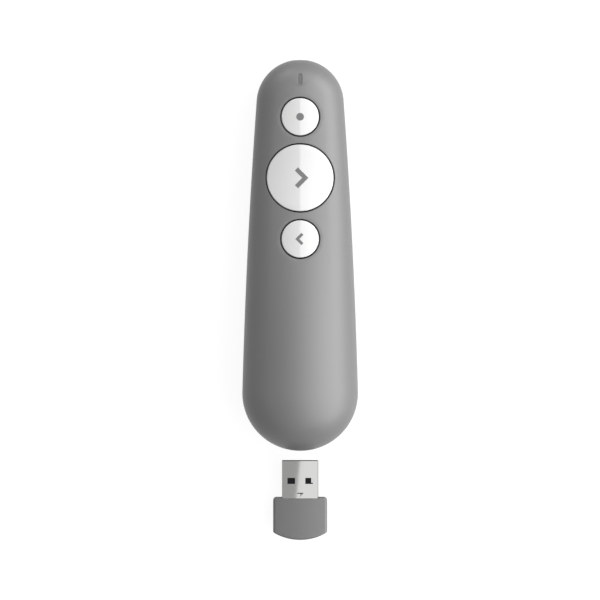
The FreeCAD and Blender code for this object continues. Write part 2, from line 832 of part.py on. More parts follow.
def screw(x, y, head_radius, head_z0, head_z1, shank_radius, top_z):
    head = peg(x, y, head_z0, head_z1, head_radius)
    shank = peg(x, y, head_z0, top_z, shank_radius)
    bars = [block(x - length / 2, x + length / 2, y - width / 2, y + width / 2,
                  head_z0, head_z0 + head_slot_depth)
            for length, width in ((head_radius, head_slot_width), (head_slot_width, head_radius))]
    return head.fuse(shank).cut(bars).removeSplitter()


def case_screws():
    return Part.makeCompound([
        screw(side * case_screw_x, case_screw_y, case_head_radius,
              case_screw_seat_z - case_head_height, case_screw_seat_z, case_shank_radius,
              case_screw_top_z)
        for side in (1, -1)])


def board_screws():
    return Part.makeCompound([
        screw(side * x, y, board_head_radius, board_bottom_z - board_head_height, board_bottom_z,
              board_shank_radius, board_bottom_z + board_shank_length)
        for x, y in board_screw_places for side in (1, -1)])


def pulled_out(solid):
    # from its place in the dock to where the receiver lies behind the tail
    solid.translate(Vector(0, -dock_travel, 0))
    return solid


def grip_solid(inset):
    # the grip in its dock: a block whose end is cut by the casing's own surface
    half = grip_width / 2 - inset
    front_y = docked_face_y - inset
    solid = block(-half, half, tail_tip_y, front_y, inset, grip_height - inset)
    end = peg(0, docked_end_y + grip_end_radius, inset, grip_height, grip_end_radius - inset)
    end = end.fuse(block(-grip_end_radius, grip_end_radius, docked_end_y + grip_end_radius / 2,
                         docked_tip_y, inset, grip_height))
    solid = solid.common(end)
    if inset == 0:
        for corner, near_front in ((grip_corner, True), (grip_end_corner, False)):
            edges = [edge for edge in solid.Edges if is_upright(edge)
                     and (edge.CenterOfMass.y > front_y - grip_corner) == near_front]
            solid = solid.makeFillet(corner, edges)
        # crowned lid with rounded edges
        crown_z = grip_height - grip_crown_radius
        solid = solid.common(rod(crown_z, tail_tip_y, docked_face_y, grip_crown_radius))
        lid = [edge for edge in solid.Edges if edge.BoundBox.ZMin > grip_height - grip_corner]
        solid = solid.makeFillet(grip_edge_round, lid)
    return solid.common(belly(inset))


def grip_half(z0, z1):
    plug = block(-plug_width / 2 - seat_gap / 2, plug_width / 2 + seat_gap / 2, docked_face_y - overrun,
                 docked_face_y + overrun, plug_z - plug_height / 2 - seat_gap / 2,
                 plug_z + plug_height / 2 + seat_gap / 2)
    # shallow recess in the lid's front edge, where the plug comes out
    recess = block(-plug_width / 2 - seat_gap / 2, plug_width / 2 + seat_gap / 2, docked_face_y - grip_recess,
                   docked_face_y + overrun, plug_z, grip_height + overrun)
    hollow = grip_solid(0).cut(grip_solid(grip_wall)).cut(plug).cut(recess)
    half = hollow.common(block(-grip_width, grip_width, tail_tip_y, docked_tip_y, z0, z1))
    return pulled_out(half.removeSplitter())


def plug_block(inset, y0, y1):
    half_width = plug_width / 2 - inset
    half_height = plug_height / 2 - inset
    solid = block(-half_width, half_width, y0, y1, plug_z - half_height, plug_z + half_height)
    long_edges = [edge for edge in solid.Edges
                  if abs(edge.lastVertex().Point.y - edge.firstVertex().Point.y) > plug_reach / 2]
    return solid.makeFillet(plug_edge_round - inset / 2, long_edges)


def plug_shell():
    back_y = docked_face_y - plug_anchor
    tube = plug_block(0, back_y, docked_tip_y)
    mouth = [edge for edge in tube.Edges if edge.BoundBox.YMin > docked_face_y]
    tube = tube.makeFillet(plug_lip_round, mouth)
    tube = tube.cut(plug_block(plug_sheet, back_y - overrun, docked_tip_y + overrun))
    window_y = docked_tip_y - window_setback
    for side in (1, -1):
        tube = tube.cut(block(side * window_x - window_width / 2, side * window_x + window_width / 2,
                              window_y - window_length / 2, window_y + window_length / 2,
                              plug_z - plug_height, plug_z + plug_height))
    # small leaf left standing in the right window, sunk by half of the sheet
    top_z = plug_z + plug_height / 2
    edge_x = window_x + window_width / 2
    tube = tube.fuse(block(edge_x - window_leaf_width, edge_x, window_y - window_length / 2
                           + window_leaf_gap, window_y + window_length / 2,
                           top_z - plug_sheet, top_z - plug_sheet / 2))
    # pressed-in triangular tab near the grip
    apex = Vector(0, docked_face_y + notch_setback - notch_length / 2, top_z)
    base_y = apex.y + notch_length
    corners = [apex, Vector(notch_width / 2, base_y, top_z), Vector(-notch_width / 2, base_y, top_z)]
    face = Part.Face(Part.makePolygon(corners + [corners[0]]))
    tube = tube.cut(face.extrude(Vector(0, 0, -plug_sheet)))
    tab = face.extrude(Vector(0, 0, -plug_sheet))
    tab.rotate(apex, Vector(1, 0, 0), -notch_tilt_degrees)
    return pulled_out(tube.fuse(tab.common(plug_block(0, back_y, docked_tip_y))).removeSplitter())


def plug_tongue():
    half = plug_width / 2 - plug_sheet - tongue_plate_fit
    tongue = block(-half, half, docked_face_y - plug_anchor, docked_tip_y - tongue_plate_setback,
                   pins_top_z, tongue_top_z)
    # room under the pressed-in tab
    room = block(-notch_width, notch_width, docked_face_y - notch_length,
                 docked_face_y + notch_setback + notch_length, tongue_top_z - notch_length / 3,
                 tongue_top_z)
    return pulled_out(tongue.cut(room))


def plug_contacts():
    pins = []
    front_y = docked_tip_y - tongue_plate_setback - pin_setback
    for number in range(pin_count):
        x = (number - (pin_count - 1) / 2) * pin_pitch
        pins.append(block(x - pin_width / 2, x + pin_width / 2, front_y - pin_length, front_y,
                          pins_top_z - pin_thickness, pins_top_z))
    return pulled_out(Part.makeCompound(pins))


def receiver_board():
    half = plug_width / 2 - plug_sheet - stick_board_fit
    return pulled_out(block(-half, half, docked_face_y - stick_board_length, docked_face_y - seat_gap,
                            pins_top_z - stick_board_thickness, pins_top_z))


def receiver_chip():
    y = docked_face_y - grip_length / 2
    half = stick_chip_side / 2
    return pulled_out(block(-half, half, y - half, y + half,
                            pins_top_z, pins_top_z + stick_chip_height))


os.makedirs("parts", exist_ok=True)
nodes = {
    "top_shell": top_shell(),
    "bottom_shell": bottom_shell(),
    "battery_door": battery_door(),
    "nose_window": nose_window(),
    "indicator_light_pipe": indicator_light_pipe(),
    "case_screws": case_screws(),
    "board_screws": board_screws(),
    "main_board": main_board(),
    "radio_chip": under_board(0, chip_y, chip_side, chip_side, chip_height),
    "clock_crystal": under_board(crystal_x, chip_y, crystal_width, crystal_length, crystal_height),
    "chip_antenna": under_board(antenna_x, antenna_y, antenna_width, antenna_length, antenna_height),
    "status_led": status_led(),
    "laser_barrel": laser_barrel(),
    "laser_lens": laser_lens(),
    "laser_diode": laser_diode(),
    "laser_flex": laser_flex(),
    "battery_left": cell(-1),
    "battery_right": cell(1),
    "battery_cradle": battery_cradle(),
    "battery_leaf_contacts": battery_leaf_contacts(),
    "battery_bridge_contact": battery_bridge_contact(),
    "dock_sleeve": dock_sleeve(),
    "receiver_cover": grip_half(grip_split_z, grip_height + overrun),
    "receiver_base": grip_half(-overrun, grip_split_z),
    "plug_shell": plug_shell(),
    "plug_tongue": plug_tongue(),
    "plug_contacts": plug_contacts(),
    "receiver_board": receiver_board(),
    "receiver_chip": receiver_chip(),
}
for name, key in KEYS.items():
    nodes[name], nodes[name + "_mark"] = key_cap_and_mark(key)
    nodes[name + "_base"] = key_base(key)
    switch = name.replace("_key", "_switch")
    nodes[switch] = switch_body(key)
    nodes[switch + "_button"] = switch_button(key)

for name, shape in nodes.items():
    solids = len(shape.Solids)
    print(name, "solids", solids, "valid", shape.isValid(), "volume", round(shape.Volume, 2))
    shape.exportStep(os.path.join("parts", name + ".step"))
print("dock travel", round(dock_travel, 3), "door back", door_back_y, "door front", door_front_y)
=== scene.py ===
import json
import math

import bmesh
import bpy
import numpy as np
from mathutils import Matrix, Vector


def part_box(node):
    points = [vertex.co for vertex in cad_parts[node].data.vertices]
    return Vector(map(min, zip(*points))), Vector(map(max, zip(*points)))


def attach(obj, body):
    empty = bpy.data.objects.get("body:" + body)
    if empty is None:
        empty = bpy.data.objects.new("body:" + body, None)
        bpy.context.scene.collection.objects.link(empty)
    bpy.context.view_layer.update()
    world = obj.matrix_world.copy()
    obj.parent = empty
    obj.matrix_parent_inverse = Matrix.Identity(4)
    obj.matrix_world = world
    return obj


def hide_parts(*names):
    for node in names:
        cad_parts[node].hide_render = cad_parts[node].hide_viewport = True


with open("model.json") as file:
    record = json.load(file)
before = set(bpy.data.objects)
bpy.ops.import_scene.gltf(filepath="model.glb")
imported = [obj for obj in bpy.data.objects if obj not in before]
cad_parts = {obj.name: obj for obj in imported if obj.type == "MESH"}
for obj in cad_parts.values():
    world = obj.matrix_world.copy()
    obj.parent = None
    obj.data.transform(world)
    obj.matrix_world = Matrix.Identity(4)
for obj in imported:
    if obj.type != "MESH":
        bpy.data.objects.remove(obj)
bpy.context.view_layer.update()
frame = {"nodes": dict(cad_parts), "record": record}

mm = 0.001

# Casing: a nose circle, a tail circle and two slightly bowed sides in plan; the crown's rise and
# the rounding of the side change from nose to tail
casing = {
    "noseTip": 79.2 * mm, "length": 129.1 * mm,
    "noseRadius": 14.4 * mm, "tailRadius": 19.1 * mm, "bowRadius": 2100 * mm,
    "noseRise": 10.2 * mm, "noseRounding": 9.5 * mm,
    "tailRise": 15.3 * mm, "tailRounding": 14.2 * mm,
    "parting": 11.0 * mm, "wall": 1.8 * mm, "seamBevel": 0.12 * mm, "portRadius": 2.1 * mm,
}
casing["noseAxis"] = casing["noseTip"] - casing["noseRadius"]
casing["tailTip"] = casing["noseTip"] - casing["length"]
casing["tailAxis"] = casing["tailTip"] + casing["tailRadius"]

# Keys: place along the casing, cap radius, and the shallow cone in the casing round each
keys = {
    "laser": {"y": 60.3 * mm, "radius": 6.15 * mm, "dish": 0.95 * mm, "dishDrop": 0.13 * mm},
    "next": {"y": 40.15 * mm, "radius": 11.0 * mm, "dish": 0.5 * mm, "dishDrop": 0.04 * mm},
    "back": {"y": 20.0 * mm, "radius": 6.15 * mm, "dish": 0.95 * mm, "dishDrop": 0.13 * mm},
}
# Gap and lip of a key hole, stand and edge of a cap, and the hollow of the large cap
keyLook = {"gap": 0.45 * mm, "lip": 0.16 * mm, "proud": 0.3 * mm, "edge": 0.3 * mm,
           "hollowDip": 0.75 * mm, "hollowReach": 8.8 * mm, "hollowBow": 43 * mm,
           "hollowStep": 1 * mm, "hollowSoft": 0.05 * mm}
# Slot of the small light near the nose
light = {"y": 72.7 * mm, "length": 3.7 * mm, "width": 1.35 * mm, "margin": 0.5 * mm,
         "lip": 0.12 * mm}

# How finely the upper casing is divided: points along the inner edge of its skin and across it.
# The rings round the holes use the same counts, so that they weld to the skin
steps = {"slotTop": 15, "slotSide": 7, "slotLow": 9, "bridge": 6, "keyHalf": 64, "tail": 56,
         "across": 46, "dish": 12, "keyLip": 7, "slotMargin": 5, "slotLip": 6,
         "keyBack": 4, "slotBack": 3}
tailFan = 7 * mm  # the skin's inner edge ends this far from the tail tip
weldReach = 2e-6
# Angle in degrees over which an edge stays sharp
sharpOver = {"casing": 32, "cap": 40, "mark": 40, "tab": 8, "slit": 40}


def bowCentre():
    # centre of the arc of the right side, which touches the nose circle and the tail circle
    span = casing["noseAxis"] - casing["tailAxis"]
    step = casing["tailRadius"] - casing["noseRadius"]
    total = casing["tailRadius"] + casing["noseRadius"]
    middle = (casing["noseAxis"] + casing["tailAxis"]) / 2
    y = middle - step * (2 * casing["bowRadius"] - total) / (2 * span)
    reach = casing["bowRadius"] - casing["noseRadius"]
    return -math.sqrt(reach ** 2 - (casing["noseAxis"] - y) ** 2), y


bowX, bowY = bowCentre()


def stationSizes(y, inset):
    # half width, rise and side rounding of the section at y on the spine: rise and rounding ease
    # from nose to tail by 3s^2 - 2s^3, and all three are drawn in by inset
    share = (casing["noseAxis"] - y) / (casing["noseAxis"] - casing["tailAxis"])
    share = np.clip(share, 0, 1)
    share = share * share * (3 - 2 * share)
    rise = casing["noseRise"] + share * (casing["tailRise"] - casing["noseRise"])
    rounding = casing["noseRounding"] + share * (casing["tailRounding"] - casing["noseRounding"])
    width = casing["bowRadius"] - np.hypot(bowX, y - bowY)
    return width - inset, rise - inset, rounding - inset


def hullHeight(x, y, inset=0.0):
    # height of the upper casing over plan point x, y: the distance from the spine is measured
    # square to the outline, and over it the section is a crown arc that meets the side's arc
    x = np.abs(np.asarray(x, float))
    y = np.asarray(y, float)
    spineY = bowY + (y - bowY) * bowX / (bowX - x)
    beside = np.hypot(x - bowX, y - bowY) - np.hypot(bowX, spineY - bowY)
    across = np.where(spineY > casing["noseAxis"], np.hypot(x, y - casing["noseAxis"]), beside)
    across = np.where(spineY < casing["tailAxis"], np.hypot(x, y - casing["tailAxis"]), across)
    spineY = np.clip(spineY, casing["tailAxis"], casing["noseAxis"])
    width, rise, rounding = stationSizes(spineY, inset)
    sideX = width - rounding
    crownRadius = (sideX ** 2 + rise ** 2 - rounding ** 2) / (2 * (rise - rounding))
    meet = crownRadius * sideX / np.hypot(sideX, crownRadius - rise)
    crown = np.sqrt(np.maximum(crownRadius ** 2 - across ** 2, 0)) - (crownRadius - rise)
    side = np.sqrt(np.maximum(rounding ** 2 - (across - sideX) ** 2, 0))
    return casing["parting"] + np.where(across < meet, crown, side)


def bowAngle(spineY):
    # direction square to the bowed side at this place of the spine
    return np.arctan2(spineY - bowY, -bowX)


def lipDrop(reach, lip):
    # fall of a rounded lip at this distance from its hole: a quarter circle of radius lip
    share = np.clip(1 - reach / lip, 0, 1)
    return lip * (1 - np.sqrt(1 - share ** 2))


def lipRadii(hole, lip, count):
    # radii that come in over a lip to its hole, closer together where it gets steep
    return hole + lip * (1 - np.sin(np.linspace(0, np.pi / 2, count)[1:]))


def fullTurn(count):
    # this many equal angles round a circle
    return np.linspace(0, 2 * np.pi, count + 1)[:-1]


def rings(turns, radii, centreY):
    # plan points x, y of rings with these radii round (0, centreY): a row for each angle
    return np.sin(turns)[:, None] * radii, centreY + np.cos(turns)[:, None] * radii


def gridFaces(rows, columns, start, wrapRows):
    # quads of a grid of points stored row by row from index start
    r = np.arange(rows if wrapRows else rows - 1)
    c = np.arange(columns - 1)
    a = start + r[:, None] * columns + c[None, :]
    b = start + ((r + 1) % rows)[:, None] * columns + c[None, :]
    return np.stack([a, b, b + 1, a + 1], axis=-1).reshape(-1, 4)


def meshFrom(name, grids, sharpAngle):
    # one object from grids of points, each (points, wrapRows)
    points, faces, start = [], [], 0
    for grid, wrapRows in grids:
        rows, columns = grid.shape[:2]
        points.append(grid.reshape(-1, 3))
        faces.append(gridFaces(rows, columns, start, wrapRows))
        start += rows * columns
    mesh = bpy.data.meshes.new(name)
    mesh.from_pydata(np.concatenate(points).tolist(), [], np.concatenate(faces).tolist())
    shape = bpy.data.objects.new(name, mesh)
    bpy.context.scene.collection.objects.link(shape)
    cleanMesh(mesh, sharpAngle)
    return shape


def cleanMesh(mesh, sharpAngle):
    # welds points, turns faces outwards and keeps edges over sharpAngle degrees sharp
    work = bmesh.new()
    work.from_mesh(mesh)
    bmesh.ops.remove_doubles(work, verts=work.verts, dist=weldReach)
    bmesh.ops.dissolve_degenerate(work, edges=work.edges, dist=weldReach / 4)
    bmesh.ops.recalc_face_normals(work, faces=work.faces)
    work.to_mesh(mesh)
    work.free()
    mesh.shade_smooth()
    mesh.set_sharp_from_angle(angle=math.radians(sharpAngle))
    mesh.update()


def finishPiece(shape, material, body, replaced=()):
    # gives a new piece its finish and the body it rides on, and hides the CAD nodes it stands for
    shape.data.materials.clear()
    shape.data.materials.append(material)
    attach(shape, body)
    if replaced:
        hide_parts(*replaced)
    return shape


def skinHeight(x, y):
    # outer height of the upper casing: the hull, less a shallow cone and a rounded lip round each
    # key hole
    z = hullHeight(x, y)
    for key in keys.values():
        reach = np.hypot(x, y - key["y"]) - key["radius"] - keyLook["gap"]
        z = z - key["dishDrop"] * np.clip(1 - reach / key["dish"], 0, 1)
        z = z - lipDrop(reach, keyLook["lip"])
    return z


def slotPath():
    # right half of the light slot's long round outline, nose to tail: the direction out of it,
    # and how far the centre of its arc is shifted along Y
    half = (light["length"] - light["width"]) / 2
    top = np.linspace(0, np.pi / 2, steps["slotTop"])
    side = np.linspace(half, -half, steps["slotSide"])[1:]
    low = np.linspace(np.pi / 2, np.pi, steps["slotLow"])[1:]
    outX = np.concatenate([np.sin(top), np.ones(side.size), np.sin(low)])
    outY = np.concatenate([np.cos(top), np.zeros(side.size), np.cos(low)])
    shift = np.concatenate([np.full(top.size, half), side, np.full(low.size, -half)])
    return outX, outY, shift


def spinePath():
    # inner edge of the right half of the skin in plan, nose to tail, round the light slot and the
    # three key holes, with the outline direction and spine place that each point is joined to
    outX, outY, shift = slotPath()
    slotRadius = light["width"] / 2 + light["margin"]
    x, y = [slotRadius * outX], [light["y"] + shift + slotRadius * outY]
    turns = np.linspace(0, np.pi, steps["keyHalf"] + 1)
    for key in keys.values():
        ring = key["radius"] + keyLook["gap"] + key["dish"]
        between = np.linspace(y[-1][-1], key["y"] + ring, steps["bridge"])[1:-1]
        x += [0 * between, ring * np.sin(turns)]
        y += [between, key["y"] + ring * np.cos(turns)]
    tailEnd = casing["tailTip"] + tailFan
    tail = np.linspace(y[-1][-1], tailEnd, steps["tail"])[1:]
    x, y = np.concatenate([*x, 0 * tail]), np.concatenate([*y, tail])

    # square to the side along the spine, and fanned out round the nose and the tail
    slotTop = light["y"] + shift[0]
    portAngle = math.acos(casing["portRadius"] / casing["noseRadius"])
    noseLean, tailLean = bowAngle(casing["noseAxis"]), bowAngle(casing["tailAxis"])
    noseShare = (y - casing["noseAxis"]) / (slotTop - casing["noseAxis"])
    tailShare = (casing["tailAxis"] - y) / (casing["tailAxis"] - tailEnd)
    noseFan = noseLean + (portAngle - noseLean) * noseShare
    tailTurn = tailLean - (np.pi / 2 + tailLean) * tailShare
    angle = np.where(y > casing["tailAxis"], bowAngle(y), tailTurn)
    angle = np.where(y > casing["noseAxis"], noseFan, angle)
    tip = slice(0, steps["slotTop"])
    angle[tip] = np.arccos(casing["portRadius"] * outX[tip] / casing["noseRadius"])
    return x, y, angle, np.clip(y, casing["tailAxis"], casing["noseAxis"])


def topSkin(path, inset):
    # grid of one half of the skin: each row runs in plan from the inner path straight to the
    # outline, spaced as a sine so that it is close at the upright rim, and is lifted onto the hull;
    # it stops at the round laser port and at the seam
    x0, y0, angle, spineY = path
    width, _, rounding = stationSizes(spineY, inset)
    aside = casing["noseRadius"] * np.cos(angle)
    stop = np.sqrt(np.maximum(casing["portRadius"] ** 2 - aside ** 2, 0))
    stop = np.where(spineY >= casing["noseAxis"], stop, 0)
    stop = np.maximum(stop, casing["seamBevel"] if inset == 0 else 0)
    width = width - (rounding - np.sqrt(rounding ** 2 - stop ** 2))
    rimX, rimY = width * np.cos(angle), spineY + width * np.sin(angle)
    share = np.sin(np.linspace(0, np.pi / 2, steps["across"]))
    x = x0[:, None] + (rimX - x0)[:, None] * share[None, :]
    y = y0[:, None] + (rimY - y0)[:, None] * share[None, :]
    z = skinHeight(x, y) if inset == 0 else hullHeight(x, y, inset)
    z[:, -1] = casing["parting"] + stop
    return np.stack([x, y, z], axis=-1)


def casingTop():
    # outer and inner skins, the rim with the seam's bevel, and a ring round each hole
    path = spinePath()
    outer = topSkin(path, 0.0)
    inner = topSkin(path, casing["wall"])
    angle, bevel = path[2], casing["seamBevel"]
    low = outer[:, -1]
    drop = np.minimum(bevel, low[:, 2] - casing["parting"])
    foot = low - np.stack([bevel * np.cos(angle), bevel * np.sin(angle), drop], axis=-1)
    rim = np.stack([low, foot, inner[:, -1]], axis=1)
    toLeft = np.array([-1.0, 1.0, 1.0])
    grids = []
    for grid in (outer, inner, rim):
        grids += [(grid, False), (grid * toLeft, False)]
    for key in keys.values():
        grids.append((keyHole(key), True))
    grids.append((slotHole(), True))
    shape = meshFrom("casing_top", grids, sharpOver["casing"])
    return finishPiece(shape, materials["casingGrey"], "root", ("top_shell",))


def throughWall(outside, inside, drop=0.0):
    # rows that run on the outer skin to the hole, then out again on the casing's inside; outside
    # and inside are plan points x, y
    outerZ = skinHeight(*outside) - drop
    innerZ = hullHeight(*inside, casing["wall"])
    return np.concatenate([np.stack([*outside, outerZ], axis=-1),
                           np.stack([*inside, innerZ], axis=-1)], axis=1)


def keyHole(key):
    # closed ring round a key hole: down the dish, over the lip, down the wall and out again
    turns = fullTurn(2 * steps["keyHalf"])
    hole = key["radius"] + keyLook["gap"]
    dish = hole + key["dish"]
    radii = np.concatenate([np.linspace(dish, hole + keyLook["lip"], steps["dish"]),
                            lipRadii(hole, keyLook["lip"], steps["keyLip"])])
    backRadii = np.linspace(hole, dish, steps["keyBack"])
    return throughWall(rings(turns, radii, key["y"]), rings(turns, backRadii, key["y"]))


def slotHole():
    # closed ring round the light slot, made as the ring of a key hole is
    outX, outY, shift = slotPath()
    outX = np.concatenate([outX, -outX[-2:0:-1]])[:, None]
    outY = np.concatenate([outY, outY[-2:0:-1]])[:, None]
    centreY = light["y"] + np.concatenate([shift, shift[-2:0:-1]])[:, None]
    hole, lip = light["width"] / 2, light["lip"]
    margin = hole + light["margin"]
    radii = np.concatenate([np.linspace(margin, hole + lip, steps["slotMargin"]),
                            lipRadii(hole, lip, steps["slotLip"])])
    backRadii = np.linspace(hole, margin, steps["slotBack"])
    return throughWall((outX * radii, centreY + outY * radii),
                       (outX * backRadii, centreY + outY * backRadii), lipDrop(radii - hole, lip))


def capHeight(name, x, y):
    # top of a key cap: the hull raised by the cap's stand; the large cap is hollowed by a trough
    # that is round along Y and bowed across, joined to the crown by a soft minimum
    key = keys[name]
    z = hullHeight(x, y) + keyLook["proud"]
    if name != "next":
        return z
    step = keyLook["hollowStep"]
    back, centre, front = hullHeight(0.0, key["y"] + np.array([-step, 0, step]))
    along = y - key["y"]
    trough = (centre + keyLook["proud"] - keyLook["hollowDip"] + (front - back) / (2 * step) * along
              + keyLook["hollowDip"] * (along / keyLook["hollowReach"]) ** 2
              - x ** 2 / (2 * keyLook["hollowBow"]))
    soft = keyLook["hollowSoft"]
    return (z + trough - np.sqrt((z - trough) ** 2 + soft ** 2)) / 2


capSteps = {"turns": 128, "across": 60, "edge": 9, "firstRadius": 0.02 * mm}


def keyCap(name):
    # a cap: rings from the middle out, a rounded edge, a straight skirt and a flat underside
    key = keys[name]
    flat, edge = key["radius"] - keyLook["edge"], keyLook["edge"]
    bend = np.sin(np.linspace(0, np.pi / 2, capSteps["edge"])[1:])
    radii = np.concatenate([np.linspace(capSteps["firstRadius"], flat, capSteps["across"]),
                            flat + edge * bend])
    x, y = rings(fullTurn(capSteps["turns"]), radii, key["y"])
    z = capHeight(name, x, y) - lipDrop(key["radius"] - radii, edge)
    top = np.stack([x, y, z], axis=-1)
    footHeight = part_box(name + "_key")[0].z
    foot = top[:, -1:].copy()
    foot[..., 2] = footHeight
    middle = np.zeros_like(foot)
    middle[..., 1] = key["y"]
    under = middle.copy()
    under[..., 2] = footHeight
    middle[..., 2] = capHeight(name, 0.0, key["y"])
    grid = np.concatenate([middle, top, foot, under], axis=1)
    shape = meshFrom(name + "_cap", [(grid, True)], sharpOver["cap"])
    return finishPiece(shape, materials["keyWhite"], name + "_key", (name + "_key",))


# Marks let into the caps: a dot, and two chevrons with square-ended strokes at 45 degrees
marks = {
    "next": {"height": 6.9 * mm, "stroke": 1.48 * mm, "shift": 0.5 * mm, "side": 1},
    "back": {"height": 4.07 * mm, "stroke": 0.95 * mm, "shift": -0.25 * mm, "side": -1},
}
markLook = {"stand": 0.025 * mm, "depth": 0.3 * mm, "dotRadius": 1.27 * mm,
            "dotTurns": 64, "dotRings": 8, "strokeSteps": 61, "strokeAcross": 9}


def chevron(name):
    # a band between the outer and inner edges of the stroke
    mark = marks[name]
    reach = mark["height"] / 2
    square = mark["stroke"] / math.sqrt(2)
    tip = mark["side"] * (reach + square) / 2 + mark["shift"]
    along = np.linspace(-1, 1, markLook["strokeSteps"])
    outer = np.stack([tip - mark["side"] * np.abs(along) * reach, along * reach], axis=-1)
    innerReach = reach - square
    innerX = tip - mark["side"] * (2 * square + np.abs(along) * innerReach)
    inner = np.stack([innerX, along * innerReach], axis=-1)
    share = np.linspace(0, 1, markLook["strokeAcross"])[None, :, None]
    plan = outer[:, None] * (1 - share) + inner[:, None] * share
    return markShape(name, plan[..., 0], plan[..., 1] + keys[name]["y"], False)


def dot(name):
    # a round disc of rings
    radii = np.linspace(0, markLook["dotRadius"], markLook["dotRings"])
    x, y = rings(fullTurn(markLook["dotTurns"]), radii, keys[name]["y"])
    return markShape(name, x, y, True)


def markShape(name, x, y, wrapRows):
    # lifts plan points onto the cap, with walls down into it; an open band gets its two ends
    cap = capHeight(name, x, y)
    top = np.stack([x, y, cap + markLook["stand"]], axis=-1)
    under = np.stack([x, y, cap - markLook["depth"]], axis=-1)
    if wrapRows:
        grids = [(np.concatenate([top, under[:, ::-1]], axis=1), True)]
    else:
        grids = [(np.concatenate([top, under[:, ::-1], top[:, :1]], axis=1), False)]
        grids += [(np.stack([top[end], under[end]], axis=1), False) for end in (0, -1)]
    shape = meshFrom(name + "_mark", grids, sharpOver["mark"])
    return finishPiece(shape, materials["markGrey"], name + "_key", (name + "_key_mark",))


# Small pressed-in tab of the plug: two facets that fall towards each other from the tab's point,
# and the slit between its end and the sheet, where a black block is painted shade for the dark
# inside
plugTab = {"point": -65.2 * mm, "length": 1.1 * mm, "notch": 1.4 * mm, "width": 2.3 * mm,
           "top": 6.55 * mm, "sunk": 0.02 * mm, "fold": 0.15 * mm, "thickness": 0.02 * mm,
           "slitStart": 1.12 * mm, "slitEnd": 1.39 * mm, "slitTop": 0.05 * mm,
           "slitFloor": 0.25 * mm, "rows": 5, "columns": 9}


def pressedTab():
    # grid from the point to the far edge: height falls with distance, and most along the middle
    share = np.linspace(0, 1, plugTab["rows"])[:, None]
    across = np.linspace(-1, 1, plugTab["columns"])[None, :]
    x = share * across * plugTab["width"] / 2 * plugTab["length"] / plugTab["notch"]
    y = plugTab["point"] + share * plugTab["length"] + 0 * across
    fall = plugTab["sunk"] + (plugTab["fold"] - plugTab["sunk"]) * (1 - np.abs(across))
    top = np.stack([x, y, plugTab["top"] - share * fall], axis=-1)
    under = top - np.array([0, 0, plugTab["thickness"]])
    band = np.concatenate([top, under[:, ::-1], top[:, :1]], axis=1)
    end = np.stack([top[-1], under[-1]], axis=1)
    shape = meshFrom("pressed_tab", [(band, False), (end, False)], sharpOver["tab"])
    return finishPiece(shape, materials["plugSteel"], "receiver", ())


def tabSlitShade():
    # painted shade: a black block that stands for the shade seen through the slit's opening
    # low block as wide at each end as the notch is there: a closed loop of four corners at both
    # ends, and the two end faces
    reach = np.array([plugTab["slitStart"], plugTab["slitEnd"]])[:, None]
    side = np.array([-1, 1, 1, -1, -1])
    low, high = plugTab["top"] - plugTab["slitFloor"], plugTab["top"] - plugTab["slitTop"]
    x = reach / plugTab["notch"] * plugTab["width"] / 2 * side
    y = plugTab["point"] + reach + 0 * side
    z = np.array([low, low, high, high, low]) + 0 * reach
    band = np.stack([x, y, z], axis=-1)
    ends = [(band[end][[0, 1, 3, 2]].reshape(2, 2, 3), False) for end in (0, 1)]
    shape = meshFrom("tab_slit_shade", [(band, False), *ends], sharpOver["slit"])
    return finishPiece(shape, materials["tongueBlackAndSlitShade"], "receiver", ())


# Copies of CAD nodes that get rounded edges, and how: angles are in degrees
softened = {
    "bottom_shell": {"body": "root", "width": 0.10 * mm},
    "battery_door": {"body": "battery_door", "width": 0.12 * mm},
}
softLook = {"weld": 1e-6, "flat": 0.5, "sharp": 32, "segments": 2}


def softCopy(name):
    # merged copy of a CAD node, with flat areas joined and its sharp edges rounded
    sharp = math.radians(softLook["sharp"])
    work = bmesh.new()
    work.from_mesh(frame["nodes"][name].data)
    bmesh.ops.remove_doubles(work, verts=work.verts, dist=softLook["weld"])
    bmesh.ops.dissolve_limit(work, angle_limit=math.radians(softLook["flat"]),
                             verts=work.verts, edges=work.edges)
    mesh = bpy.data.meshes.new("soft_" + name)
    work.to_mesh(mesh)
    work.free()
    mesh.shade_smooth()
    mesh.set_sharp_from_angle(angle=sharp)
    shape = bpy.data.objects.new("soft_" + name, mesh)
    bpy.context.scene.collection.objects.link(shape)
    bevel = shape.modifiers.new("edges", "BEVEL")
    bevel.width = softened[name]["width"]
    bevel.segments = softLook["segments"]
    bevel.limit_method = "ANGLE"
    bevel.angle_limit = sharp
    bevel.harden_normals = True
    rows = frame["record"]["subparts"]
    slot = next(row["material_slot"] for row in rows if row["node"] == name)
    return finishPiece(shape, materials[nodeFinish(name, slot)], softened[name]["body"],
                       (name,))


# What a finish has unless it says otherwise, and the shader sockets that take these values
plainFinish = {"metal": 0.0, "glass": 0.0, "specular": 0.5, "rim": 1.0, "coat": 0.0,
               "coatRoughness": 0.1, "coatIndex": 1.5, "grain": 3000.0, "shift": 0.06,
               "spread": 0.05, "relief": 0.003 * mm, "pattern": None}
plainSockets = {"Metallic": "metal", "Transmission Weight": "glass",
                "Specular IOR Level": "specular", "Coat Weight": "coat",
                "Coat Roughness": "coatRoughness", "Coat IOR": "coatIndex"}
